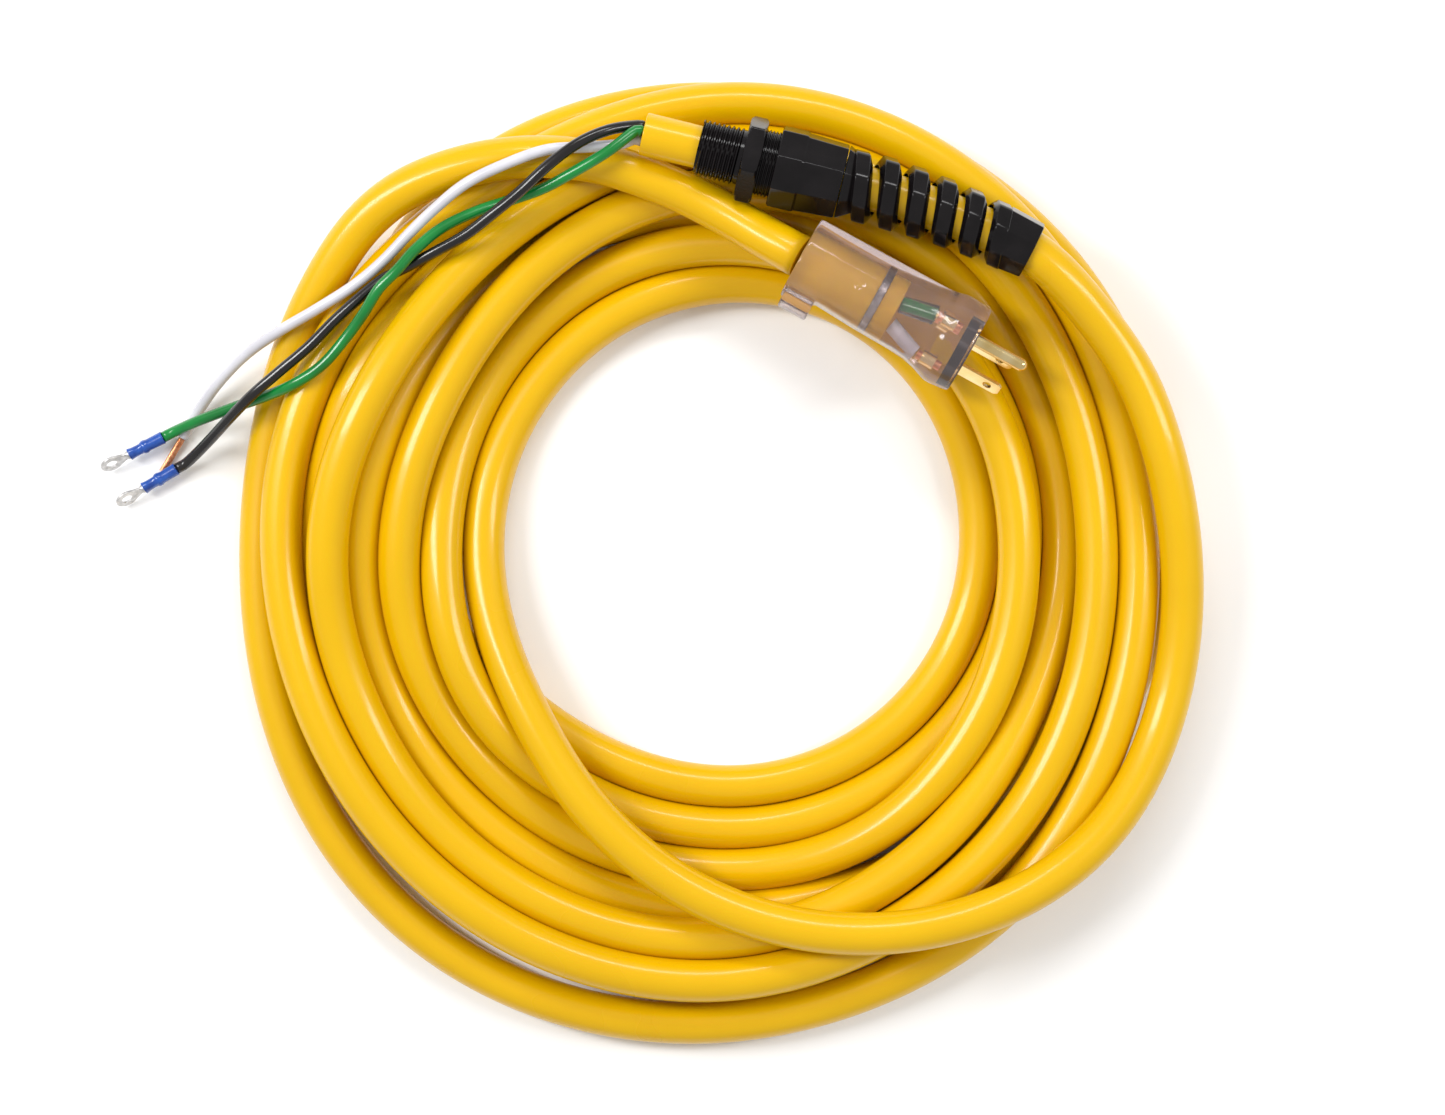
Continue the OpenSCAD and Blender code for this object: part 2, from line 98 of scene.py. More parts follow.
# Routes that aren't coiled, in millimetres, as part.scad has them
PLUG_RUN = (
    (21, 116, 46.5), (11, 122, 42), (0, 129, 39), (-13, 136, 37), (-28, 142, 37), (-46, 148, 38),
    (-65, 150, 38), (-85, 149, 37), (-103, 145, 34), (-119, 139, 31), (-133, 129, 27), (-144, 116, 23),
    (-153, 100, 19), (-160, 82, 15), (-167, 62, 12), (-171, 42, 10), (-174, 22, 9),
)
GLAND_RUN = (
    (120, 110, 49), (128, 102, 47), (136, 93, 44), (144, 83, 41), (154, 69, 38), (161, 52, 38),
    (168, 29, 36), (172, 10, 31), (174, -8, 27), (174, -27, 25),
)
BLACK_RUN = (
    (-42, 158, 52), (-53, 153, 54), (-64, 145, 54), (-74, 136, 52), (-84, 128, 50), (-95, 120, 46),
    (-107, 114, 41), (-117, 109, 38), (-127, 104, 36.5), (-137, 96, 36), (-146, 88, 35), (-155, 79, 34),
    (-166, 70, 32), (-177, 61, 29), (-186, 53, 22), (-196, 44, 12),
    (-204.7, 36.6, 5.2), (-209, 34, 5.2),
)
WHITE_RUN = (
    (-39, 153, 48), (-50, 152, 49), (-65, 151, 49), (-80, 146, 48), (-95, 139, 46), (-107, 130, 42),
    (-117, 121, 38), (-127, 111, 35.5), (-138, 102, 34), (-153, 93, 30), (-168, 85, 24), (-181, 77, 16),
    (-192, 67, 9.5), (-200, 57, 5), (-207, 46, 2.8),
)
GREEN_RUN = (
    (-42, 150, 54), (-54, 143, 52), (-66, 137, 48), (-78, 133, 45), (-91, 129, 43), (-104, 123, 42),
    (-114, 115, 42), (-121, 107, 43), (-128, 100, 42), (-134, 91, 39), (-141, 82, 36), (-150, 72, 34.5),
    (-161, 65, 32), (-172, 61, 25), (-185, 57, 18), (-200, 52, 11),
    (-209.5, 48.3, 5.5), (-214, 46, 5.5),
)
BARE_TIP = (-215, 33, 1.5)
# Places of the leads across the strain relief's axis, up and left, in millimetres
BLACK_AT = (-1.5, 2.6)
WHITE_AT = (-1.5, -2.6)
GREEN_AT = (3, 0)
LEAD_GAP = 0.1
LEAD_STRAIGHT = 3
BLACK_HEADING = math.radians(211)
GREEN_HEADING = math.radians(207)
TERMINAL_ROLL = math.radians(25)
# Distance of a terminal ring's centre from its lead's end, and its radii, in millimetres
RING_AT = 22.1
RING_R = 4.4
STUD_HOLE_R = 2.2

# The coil, from the strain relief's end to the plug's end, clockwise from above. Each row is one
# turn, as a radius in millimetres every 45 degrees from 12 o'clock, and the order in which that
# stretch was laid down, where a later one rests on the earlier ones.
TURNS = (
    ((112, 108, 101, 95, 91, 93, 126, 172), (0, 0, 0, 0, 0, 0, 0, 0)),
    ((173, 171, 166, 162, 158, 160, 160, 155), (0, 1, 1, 1, 1, 1, 1, 1)),
    ((154, 152, 147, 140, 134, 136, 139, 137), (1, 1, 1, 1, 1, 1, 1, 1)),
    ((134, 128, 118, 111, 108, 106, 108, 113), (1, 1, 1, 1, 1, 1, 1, 1)),
    ((126, 121, 112, 118, 124, 125, 125, 130), (3, 3, 3, 3, 3, 3, 3, 3)),
    ((142, 137, 127, 134, 145, 149, 148, 147), (3, 3, 3, 3, 3, 3, 3, 3)),
    ((158, 154, 142, 151, 160, 164, 164, 163), (3, 3, 3, 3, 3, 3, 3, 3)),
    ((173, 169, 158), (3, 3, 3)),
)
# The same, as an angle, a radius and an order: the strand that crosses over all others at the
# bottom, before the turns, and the outermost strand at the lower left, after them
CROSSING = (
    (112, 175, 9), (125, 174, 9), (137, 169, 9), (150, 159, 9), (165, 146, 9), (180, 131, 9),
    (200, 117, 9), (225, 104, 9), (247, 96, 8), (270, 93, 8), (293, 94, 0), (315, 97, 0), (338, 105, 0),
)
OUTERMOST = (
    (110, 160, 3), (130, 164, 3), (150, 168, 3), (165, 174, 3), (180, 178, 1), (200, 182, 1),
    (222, 185, 1), (240, 182, 1), (257, 178, 1),
)


# ---------- shared helpers ----------

def gland_point(up, left, along):
    """A point of the strain relief's frame, where along is positive towards the flex tail."""
    ahead = np.array((math.cos(GLAND_YAW), math.sin(GLAND_YAW), 0))
    side = np.array((-math.sin(GLAND_YAW), math.cos(GLAND_YAW), 0))
    return GLAND_AT + along * ahead + left * side + np.array((0, 0, up))


def tail_point(along):
    """A point on the axis of the flex tail, which bends with the cord."""
    bend = (along - TAIL_FROM) / TAIL_R
    return gland_point(0, -TAIL_R * (1 - math.cos(bend)), TAIL_FROM + TAIL_R * math.sin(bend))


def plug_point(along):
    return PLUG_AT + along * np.array((math.cos(PLUG_YAW), math.sin(PLUG_YAW), 0))


def placed(points, at, yaw, turn=0.0):
    """Points in millimetres of a part that is drawn along +Z, turned about +Z and laid on a heading."""
    x, y, z = np.moveaxis(np.asarray(points, float) * MM, -1, 0)
    across = x * math.sin(turn) + y * math.cos(turn)
    up = y * math.sin(turn) - x * math.cos(turn)
    return np.stack([at[0] + z * math.cos(yaw) - across * math.sin(yaw),
                     at[1] + z * math.sin(yaw) + across * math.cos(yaw),
                     at[2] + up], axis=-1)


def in_gland(points):
    return placed(points, GLAND_AT, GLAND_YAW)


def in_plug(points, turn=0.0):
    return placed(points, PLUG_AT, PLUG_YAW, turn)


def spline(points, per_span):
    """A smooth line through the points, each a row of numbers, with that many steps for each span."""
    points = np.asarray(points, float)
    padded = np.vstack([2 * points[0] - points[1], points, 2 * points[-1] - points[-2]])
    t = np.linspace(0, 1, per_span, endpoint=False)[:, None]
    rows = []
    for i in range(1, len(padded) - 2):
        a, b, c, d = padded[i - 1:i + 3]
        rows.append(0.5 * (2 * b + (c - a) * t + (2 * a - 5 * b + 4 * c - d) * t ** 2
                           + (3 * b - a - 3 * c + d) * t ** 3))
    return np.vstack(rows + [points[-1:]])


def distances(line):
    """The distance travelled along the line at each of its points."""
    return np.concatenate([[0], np.cumsum(np.linalg.norm(np.diff(line, axis=0), axis=1))])


def respace(line, step):
    """The same line with its points a fixed distance apart, measured along its first three columns."""
    travelled = distances(line[:, :3])
    places = np.linspace(0, travelled[-1], int(round(travelled[-1] / step)) + 1)
    return np.stack([np.interp(places, travelled, column) for column in line.T], axis=1)


def directions(line):
    ahead = np.gradient(line, axis=0)
    return ahead / np.linalg.norm(ahead, axis=1)[:, None]


def carried_sides(line):
    """Two unit vectors across the line at each point, carried along it without twisting."""
    ahead = directions(line)
    side = np.cross(ahead[0], (0, 0, 1))
    sides = []
    for tangent in ahead:
        side = side - tangent * np.dot(side, tangent)
        side = side / np.linalg.norm(side)
        sides.append(side)
    sides = np.array(sides)
    return sides, np.cross(sides, ahead)


def new_object(name, vertices, faces, material, smooth=True):
    mesh = bpy.data.meshes.new(name)
    mesh.from_pydata([tuple(v) for v in vertices], [], [tuple(f) for f in faces])
    mesh.update()
    tidy = bmesh.new()
    tidy.from_mesh(mesh)
    bmesh.ops.recalc_face_normals(tidy, faces=tidy.faces)
    tidy.to_mesh(mesh)
    tidy.free()
    mesh.materials.append(material)
    mesh.polygons.foreach_set("use_smooth", [smooth] * len(mesh.polygons))
    obj = bpy.data.objects.new(name, mesh)
    bpy.context.scene.collection.objects.link(obj)
    return obj


def sweep(name, line, radii, sides, material):
    """A closed tube along the line, with a radius at each point and flat ends."""
    across, upward = carried_sides(line)
    angles = np.linspace(0, 2 * math.pi, sides, endpoint=False)
    ring = np.cos(angles)[None, :, None] * across[:, None] + np.sin(angles)[None, :, None] * upward[:, None]
    vertices = (line[:, None] + ring * np.asarray(radii)[:, None, None]).reshape(-1, 3)
    count = len(line)
    faces = []
    for i in range(count - 1):
        for k in range(sides):
            a, b = i * sides + k, i * sides + (k + 1) % sides
            faces.append((a, b, b + sides, a + sides))
    faces.append(tuple(range(sides - 1, -1, -1)))
    faces.append(tuple((count - 1) * sides + k for k in range(sides)))
    obj = new_object(name, vertices, faces, material)
    flatten_caps(obj)
    add_length_map(obj, line, sides)
    return obj


def flatten_caps(obj):
    for polygon in obj.data.polygons:
        if len(polygon.vertices) > 4:
            polygon.use_smooth = False


def add_length_map(obj, line, sides):
    """A UV map with the distance along the line in U, in metres, and the way round in V."""
    travelled = distances(line)
    layer = obj.data.uv_layers.new(name="along")
    for polygon in obj.data.polygons:
        wraps = len(polygon.vertices) == 4
        columns = [v % sides for v in polygon.vertices]
        seam = wraps and max(columns) - min(columns) > 1
        for loop, vertex, column in zip(polygon.loop_indices, polygon.vertices, columns):
            turn = 1.0 if seam and column == 0 else column / sides
            layer.data[loop].uv = (travelled[min(vertex // sides, len(line) - 1)], turn)


def finished(obj, body, slot, *nodes, crease=35):
    """Crisp edges where faces meet at more than the crease's angle, and the piece's place in the frame."""
    obj.data.set_sharp_from_angle(angle=math.radians(crease))
    obj.modifiers.new("even_flats", "WEIGHTED_NORMAL").keep_sharp = True
    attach(obj, body)
    if nodes:
        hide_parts(*nodes)
    return obj


def ring_faces(rows, columns, loop, first=0):
    faces = []
    for i in range(rows if loop else rows - 1):
        j = (i + 1) % rows
        for k in range(columns):
            n = (k + 1) % columns
            faces.append(tuple(first + v for v in (
                i * columns + k, i * columns + n, j * columns + n, j * columns + k)))
    if not loop:
        faces.append(tuple(first + k for k in range(columns)))
        faces.append(tuple(first + (rows - 1) * columns + k for k in range(columns)))
    return faces


def skin(name, rings, material, loop=False):
    """A closed solid from rings of points; with loop, the last ring joins the first round a hollow."""
    rows, columns = rings.shape[:2]
    return new_object(name, rings.reshape(-1, 3), ring_faces(rows, columns, loop), material)


def facet_angles(sides, turn):
    """Angles round a polygon, closer together at its corners."""
    near = math.radians(1.6)
    between = np.linspace(near, 2 * math.pi / sides - near, 8)
    one = np.concatenate([[-0.4 * near, 0.4 * near], between])
    corners = 2 * math.pi / sides * np.arange(sides)
    return (corners[:, None] + one[None]).ravel() + turn


def flats(angles, sides, turn, crispness=80):
    """Radius of a polygon with softly rounded corners, as a share of its corner radius."""
    middles = turn + 2 * math.pi / sides * (np.arange(sides) + 0.5)
    facing = np.maximum(np.cos(np.asarray(angles)[..., None] - middles), 0) / math.cos(math.pi / sides)
    return (facing ** crispness).sum(-1) ** (-1 / crispness)


def turned(profile, angles, shares=None):
    """Rings of points for a profile of (radius, distance) rows; a row with a True third value follows
    the shares, and any other is round."""
    rings = []
    for row in profile:
        radius = row[0] * (shares if len(row) > 2 and row[2] else np.ones(len(angles)))
        rings.append(np.stack([radius * np.cos(angles), radius * np.sin(angles),
                               np.full(len(angles), float(row[1]))], axis=1))
    return np.array(rings)


def round_angles(count):
    return np.linspace(0, 2 * math.pi, count, endpoint=False)


# ---------- the coil's turns ----------

STEP = 8 * MM
TOUCH = CORD_D
SETTLE_ROUNDS = 260
EASING_ROUNDS = 14
# Length of cord in the flex tail, and the spacing of the finished line's points, in millimetres
TAIL_LENGTH = 66
FINE_STEP = 3.5
# How far a free point comes down in one round of settling, and in one of the last rounds
FALL = 0.15 * MM
LAST_FALL = 0.03 * MM
# Distance kept free round the plug's axis and the strain relief's
UNDER_PLUG = 25.5 * MM
UNDER_GLAND = 23 * MM


def on_circle(angle, radius):
    bearing = math.radians(angle)
    return (radius * MM * math.sin(bearing), radius * MM * math.cos(bearing))


def coil_plan():
    """Rows of x, y, z, order and a flag for what is held still, from the strain relief to the plug."""
    rows = []
    for along in (41, 59, 77, 95, 113):
        rows.append((*tail_point(along * MM), 9, 1))
    for i, point in enumerate(GLAND_RUN):
        rows.append((*(np.array(point) * MM), 9, min(1, 0.33 * (len(GLAND_RUN) - 1 - i))))
    floor = CORD_D / 2
    for angle, radius, order in CROSSING:
        rows.append((*on_circle(angle, radius), floor, order, 0))
    for radii, orders in TURNS:
        for eighth, (radius, order) in enumerate(zip(radii, orders)):
            rows.append((*on_circle(45 * eighth, radius), floor, order, 0))
    for angle, radius, order in OUTERMOST:
        rows.append((*on_circle(angle, radius), floor, order, 0))
    for i, point in enumerate(PLUG_RUN[::-1]):
        order = 1 if point[2] < 25 else 9
        rows.append((*(np.array(point) * MM), order, min(1, 0.25 * i)))
    rows.append((*plug_point(-PLUG_LEN * MM), 9, 1))
    return np.array(rows)


def evened(values, held, times):
    for _ in range(times):
        middle = values.copy()
        middle[1:-1] = 0.25 * values[:-2] + 0.5 * values[1:-1] + 0.25 * values[2:]
        values = np.where(held, values, middle)
    return values


def stacked(rows):
    """Heights for the plan: each strand comes to rest on those that were laid down before it."""
    place, order = rows[:, :3].copy(), rows[:, 3]
    held = rows[:, 4] > 0.5
    index = np.arange(len(place))
    apart = np.abs(index[:, None] - index[None, :]) > 3 * TOUCH / STEP
    later = order[:, None] > order[None, :] + 0.3
    gap = ((place[:, None, :2] - place[None, :, :2]) ** 2).sum(2)
    above, below = np.where((gap < TOUCH ** 2) & apart & later)
    rise = np.sqrt(TOUCH ** 2 - gap[above, below])
    floor = CORD_D / 2
    height = np.where(held, place[:, 2], floor)
    for _ in range(400):
        rests_at = np.full(len(place), floor)
        np.maximum.at(rests_at, above, height[below] + rise)
        height = np.where(held, height, np.maximum(rests_at, evened(height - 0.15 * MM, held, 3)))
    place[:, 2] = height
    return np.column_stack([place, rows[:, 3:]])


def kept_under(place, free, start, end, clear):
    """Keeps the free points below a round body that lies on the coil."""
    axis = end - start
    share = np.clip((place - start) @ axis / (axis @ axis), 0, 1)
    nearest = start + share[:, None] * axis
    aside = np.linalg.norm((place - nearest)[:, :2], axis=1)
    under = free & (aside < clear)
    ceiling = nearest[under, 2] - np.sqrt(clear ** 2 - aside[under] ** 2)
    place[under, 2] = np.minimum(place[under, 2], ceiling)


def settled(rows):
    """Lets the strands push apart, bend smoothly and come down, keeping each one's length."""
    place, held = rows[:, :3].copy(), rows[:, 4]
    free = held < 0.99
    weight = np.clip(1 - held, 0, 1)
    target = place[:, :2].copy()
    rest = np.linalg.norm(np.diff(place, axis=0), axis=1)
    index = np.arange(len(place))
    near = (1.5 * TOUCH) ** 2
    for turn in range(SETTLE_ROUNDS):
        place[:, 2] -= (FALL if turn < 0.85 * SETTLE_ROUNDS else LAST_FALL) * weight
        place[:, :2] += 0.02 * (target - place[:, :2]) * weight[:, None]
        if turn % 6 == 0:
            gap = ((place[:, None] - place[None]) ** 2).sum(2)
            first, second = np.where((gap < near) & (index[None, :] - index[:, None] > 5))
        for _ in range(3):
            for odd in (0, 1):
                i = np.arange(odd, len(place) - 1, 2)
                span = place[i + 1] - place[i]
                size = np.linalg.norm(span, axis=1)
                share = np.maximum(weight[i] + weight[i + 1], 1)
                pull = ((size - rest[i]) / size / share)[:, None] * span
                place[i] += pull * weight[i][:, None]
                place[i + 1] -= pull * weight[i + 1][:, None]
            for stride in (1, 2, 3):
                far = 2 * stride
                bend = (place[:-2 * far] - 4 * place[stride:-far - stride] + 6 * place[far:-far]
                        - 4 * place[far + stride:-stride] + place[2 * far:])
                place[far:-far] -= 0.6 / 16 * bend * weight[far:-far][:, None]
            span = place[second] - place[first]
            size = np.linalg.norm(span, axis=1)
            hit = size < TOUCH
            a, b, span, size = first[hit], second[hit], span[hit], size[hit]
            push = ((TOUCH - size) / size * 0.5)[:, None] * span
            moved = np.zeros_like(place)
            for k in range(3):
                moved[:, k] = (np.bincount(b, push[:, k], len(place))
                               - np.bincount(a, push[:, k], len(place)))
            touches = np.bincount(a, minlength=len(place)) + np.bincount(b, minlength=len(place))
            place += moved / np.maximum(touches, 1)[:, None] * 1.2 * weight[:, None]
            kept_under(place, free, plug_point(-PLUG_LEN * MM), PLUG_AT, UNDER_PLUG)
            kept_under(place, free, gland_point(0, 0, -17 * MM), tail_point(TAIL_TO), UNDER_GLAND)
            place[free, 2] = np.maximum(place[free, 2], CORD_D / 2)
    return place


def coil_line():
    rows = respace(spline(coil_plan(), 20), STEP)
    rows = respace(stacked(rows), STEP)
    line = settled(rows)
    line = respace(spline(line, 4), FINE_STEP * MM)
    index = np.arange(len(line))
    from_ends = np.minimum(index - TAIL_LENGTH / FINE_STEP, len(line) - 6 - index)
    easing = np.clip(from_ends / 4, 0, 1)[1:-1, None]
    for _ in range(EASING_ROUNDS):
        line[1:-1] += 0.25 * easing * (line[:-2] - 2 * line[1:-1] + line[2:])
    return respace(line, FINE_STEP * MM)


# ---------- materials ----------

def new_material(name, colour, roughness, **sockets):
    material = bpy.data.materials.new(name)
    material.use_nodes = True
    shader = material.node_tree.nodes["Principled BSDF"]
    shader.inputs["Base Color"].default_value = (*colour, 1)
    shader.inputs["Roughness"].default_value = roughness
    for socket, value in sockets.items():
        shader.inputs[socket.replace("_", " ")].default_value = value
    return material, material.node_tree, shader


def noise(tree, scale, detail=3, vector=None):
    node = tree.nodes.new("ShaderNodeTexNoise")
    node.inputs["Scale"].default_value = scale
    node.inputs["Detail"].default_value = detail
    if vector is None:
        vector = tree.nodes.new("ShaderNodeTexCoord").outputs["Object"]
    tree.links.new(vector, node.inputs["Vector"])
    return node.outputs["Fac"]


def stretched(tree, along, across, source="UV"):
    """Coordinates scaled one way, for a grain that runs along a cord or a machined face."""
    place = tree.nodes.new("ShaderNodeTexCoord")
    scale = tree.nodes.new("ShaderNodeMapping")
    scale.inputs["Scale"].default_value = (along, across, across)
    tree.links.new(place.outputs[source], scale.inputs["Vector"])
    return scale.outputs["Vector"]


def ramp(tree, value, stops):
    node = tree.nodes.new("ShaderNodeValToRGB")
    elements = node.color_ramp.elements
    while len(elements) < len(stops):
        elements.new(0.5)
    for element, (position, colour) in zip(elements, stops):
        element.position = position
        element.color = (*colour, 1) if len(colour) == 3 else colour
    tree.links.new(value, node.inputs["Fac"])
    return node.outputs["Color"]


def spread(tree, value, low, high):
    node = tree.nodes.new("ShaderNodeMapRange")
    node.inputs["To Min"].default_value = low
    node.inputs["To Max"].default_value = high
    tree.links.new(value, node.inputs["Value"])
    return node.outputs["Result"]


def bump(tree, shader, value, strength, distance):
    node = tree.nodes.new("ShaderNodeBump")
    node.inputs["Strength"].default_value = strength
    node.inputs["Distance"].default_value = distance
    tree.links.new(value, node.inputs["Height"])
    tree.links.new(node.outputs["Normal"], shader.inputs["Normal"])


def varied(tree, shader, scale, dark, light, low, high, vector=None):
    """Colour and roughness that drift over the surface together."""
    value = noise(tree, scale, vector=vector)
    tree.links.new(ramp(tree, value, ((0.3, dark), (0.7, light))), shader.inputs["Base Color"])
    tree.links.new(spread(tree, value, low, high), shader.inputs["Roughness"])


def jacket_material():
    material, tree, shader = new_material(
        "yellow_jacket", (0.70, 0.405, 0.0), 0.26, Coat_Weight=0.22, Coat_Roughness=0.10)
    shader.inputs["Specular IOR Level"].default_value = 0.25
    shader.inputs["Subsurface Weight"].default_value = 0.10
    shader.inputs["Subsurface Radius"].default_value = (0.004, 0.0015, 0.0001)
    shader.inputs["Subsurface Scale"].default_value = 1.0
    varied(tree, shader, 14, (0.67, 0.385, 0.0), (0.73, 0.425, 0.0), 0.24, 0.33)
    bump(tree, shader, noise(tree, 1, 4, stretched(tree, 60, 9)), 0.12, 0.0006)
    return material


def nylon_material():
    material, tree, shader = new_material("black_nylon", (0.006, 0.005, 0.006), 0.2)
    shader.inputs["Specular IOR Level"].default_value = 0.28
    varied(tree, shader, 90, (0.003, 0.0022, 0.0025), (0.007, 0.0055, 0.006), 0.10, 0.20)
    bump(tree, shader, noise(tree, 900, 5), 0.10, 0.0002)
    return material


def insulation_material(colour, dark, light, roughness):
    material, tree, shader = new_material(
        "insulation_" + colour, light, roughness, Coat_Weight=0.2, Coat_Roughness=0.15)
    varied(tree, shader, 60, dark, light, roughness - 0.04, roughness + 0.08)
    bump(tree, shader, noise(tree, 1, 3, stretched(tree, 150, 5)), 0.15, 0.0003)
    return material


def copper_material():
    material, tree, shader = new_material("copper", (0.83, 0.36, 0.17), 0.3, Metallic=1)
    varied(tree, shader, 700, (0.60, 0.22, 0.09), (0.92, 0.48, 0.27), 0.22, 0.42)
    bump(tree, shader, noise(tree, 1, 2, stretched(tree, 40, 1500, "Object")), 0.2, 0.0002)
    return material


def sleeve_material():
    material, tree, shader = new_material("sleeve_blue", (0.01, 0.08, 0.45), 0.22, Coat_Weight=0.4)
    shader.inputs["Transmission Weight"].default_value = 0.25
    shader.inputs["IOR"].default_value = 1.5
    varied(tree, shader, 250, (0.005, 0.05, 0.32), (0.02, 0.12, 0.55), 0.18, 0.30)
    return material


def tin_material():
    material, tree, shader = new_material("tinned_metal", (0.62, 0.61, 0.60), 0.45, Metallic=1)
    varied(tree, shader, 500, (0.42, 0.41, 0.40), (0.74, 0.73, 0.72), 0.34, 0.58)
    bump(tree, shader, noise(tree, 1200, 4), 0.2, 0.0002)
    return material


def brass_material():
    material, tree, shader = new_material("prong_brass", (0.86, 0.66, 0.30), 0.16, Metallic=1)
    varied(tree, shader, 120, (0.80, 0.57, 0.22), (0.92, 0.74, 0.40), 0.10, 0.24)
    bump(tree, shader, noise(tree, 1, 3, stretched(tree, 120, 1800, "Object")), 0.05, 0.0002)
    return material


def band_material():
    material, tree, shader = new_material("band_metal", (0.34, 0.33, 0.33), 0.32, Metallic=1)
    varied(tree, shader, 300, (0.22, 0.21, 0.21), (0.48, 0.47, 0.46), 0.24, 0.42)
    return material


def clear_material():
    material, tree, shader = new_material("clear_plastic", (0.86, 0.72, 0.72), 0.12)
    shader.inputs["Transmission Weight"].default_value = 0.93
    shader.inputs["IOR"].default_value = 1.46
    varied(tree, shader, 45, (0.78, 0.64, 0.66), (0.90, 0.79, 0.80), 0.05, 0.14)
    bump(tree, shader, noise(tree, 130, 3), 0.08, 0.0008)
    return material


def rubber_material():
    material, tree, shader = new_material("seal_rubber", (0.04, 0.04, 0.04), 0.6)
    varied(tree, shader, 400, (0.03, 0.03, 0.03), (0.06, 0.06, 0.06), 0.5, 0.7)
    return material


def washer_material():
    material, tree, shader = new_material("washer_nylon", (0.75, 0.74, 0.70), 0.4)
    varied(tree, shader, 400, (0.68, 0.67, 0.62), (0.80, 0.79, 0.75), 0.35, 0.5)
    return material


MATERIALS = {
    "yellow_jacket": jacket_material(),
    "black_nylon": nylon_material(),
    "seal_rubber": rubber_material(),
    "washer_nylon": washer_material(),
    "insulation_black": insulation_material("black", (0.004, 0.003, 0.003), (0.010, 0.008, 0.008), 0.2),
    "insulation_white": insulation_material("white", (0.54, 0.53, 0.57), (0.66, 0.65, 0.69), 0.25),
    "insulation_green": insulation_material("green", (0.0, 0.14, 0.018), (0.0, 0.22, 0.035), 0.22),
    "copper": copper_material(),
    "sleeve_blue": sleeve_material(),
    "tinned_metal": tin_material(),
    "clear_plastic": clear_material(),
    "band_metal": band_material(),
    "prong_brass": brass_material(),
}


def paint_cad_nodes():
    """Every CAD node takes the material of its own slot."""
    for part in frame["record"]["subparts"]:
        mesh = frame["nodes"][part["node"]].data
        mesh.materials.clear()
        mesh.materials.append(MATERIALS[part["material_slot"]])


# ---------- cords ----------


def build_main_cord(plug_pieces):
    line = coil_line()
    cord = sweep("main_cord", line, np.full(len(line), CORD_D / 2), 36, MATERIALS["yellow_jacket"])
    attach(cord, "root")
    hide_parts("cord_coil", "cord_plug_run", "cord_gland_run")


def build_lead(colour, at, run, pieces):
    back = [gland_point(at[0] * MM, at[1] * MM, (JACKET_CUT - b) * MM) for b in (LEAD_GAP, LEAD_STRAIGHT)]
    line = respace(spline(back + [np.array(p) * MM for p in run], 8), 1.5 * MM)
    node = "lead_" + colour
    lead = sweep(node + "_wire", line, np.full(len(line), LEAD_D / 2), 20, MATERIALS["insulation_" + colour])
    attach(lead, "root")
    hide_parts(node)


def build_leads():
    build_lead("black", BLACK_AT, BLACK_RUN, build_terminal("black", BLACK_RUN[-1], BLACK_HEADING))
    build_lead("green", GREEN_AT, GREEN_RUN, build_terminal("green", GREEN_RUN[-1], GREEN_HEADING))
    build_lead("white", WHITE_AT, WHITE_RUN, [build_bare_copper()])


# ---------- strain relief ----------

def threaded(name, start, end, pitch, root, crest, bore, taper):
    """A male thread as one closed solid: a helical ridge outside and a plain bore inside."""
    ridge = ((0.0, 0.0), (0.34, 1.0), (0.54, 1.0), (0.88, 0.0))
    count = 96
    per = len(ridge)
    rows = per * (int((end - start) / pitch) + 4)
    vertices, faces = [], []
    for m in range(rows):
        share, height = ridge[m % per]
        for j in range(count):
            along = start + pitch * (m // per - 1 + share + j / count)
            inside = start < along < end
            along = min(max(along, start), end)
            radius = root + (crest - root) * height * inside - taper * (end - along)
            angle = 2 * math.pi * j / count
            vertices.append((radius * math.cos(angle), -radius * math.sin(angle), along))
    for m in range(rows - 1):
        for j in range(count):
            if j < count - 1:
                faces.append((m * count + j, m * count + j + 1, (m + 1) * count + j + 1, (m + 1) * count + j))
            elif m + per + 1 < rows:
                wrapped = (m + per) * count
                faces.append((m * count + j, wrapped, wrapped + count, (m + 1) * count + j))
    first = len(vertices)
    for along in (start, end):
        for j in range(count):
            angle = 2 * math.pi * j / count
            vertices.append((bore * math.cos(angle), -bore * math.sin(angle), along))
    for j in range(count):
        n = (j + 1) % count
        last = (rows - 1) * count
        faces.append((j, n, first + n, first + j))
        faces.append((first + j, first + n, first + count + n, first + count + j))
        faces.append((last + j, last + n, first + count + n, first + count + j))
    obj = new_object(name, in_gland(vertices), faces, MATERIALS["black_nylon"])
    welded = bmesh.new()
    welded.from_mesh(obj.data)
    bmesh.ops.remove_doubles(welded, verts=welded.verts, dist=0.002 * MM)
    bmesh.ops.dissolve_degenerate(welded, edges=welded.edges, dist=0.002 * MM)
    bmesh.ops.recalc_face_normals(welded, faces=welded.faces)
    welded.to_mesh(obj.data)
    welded.free()
    return finished(obj, "root", "black_nylon")


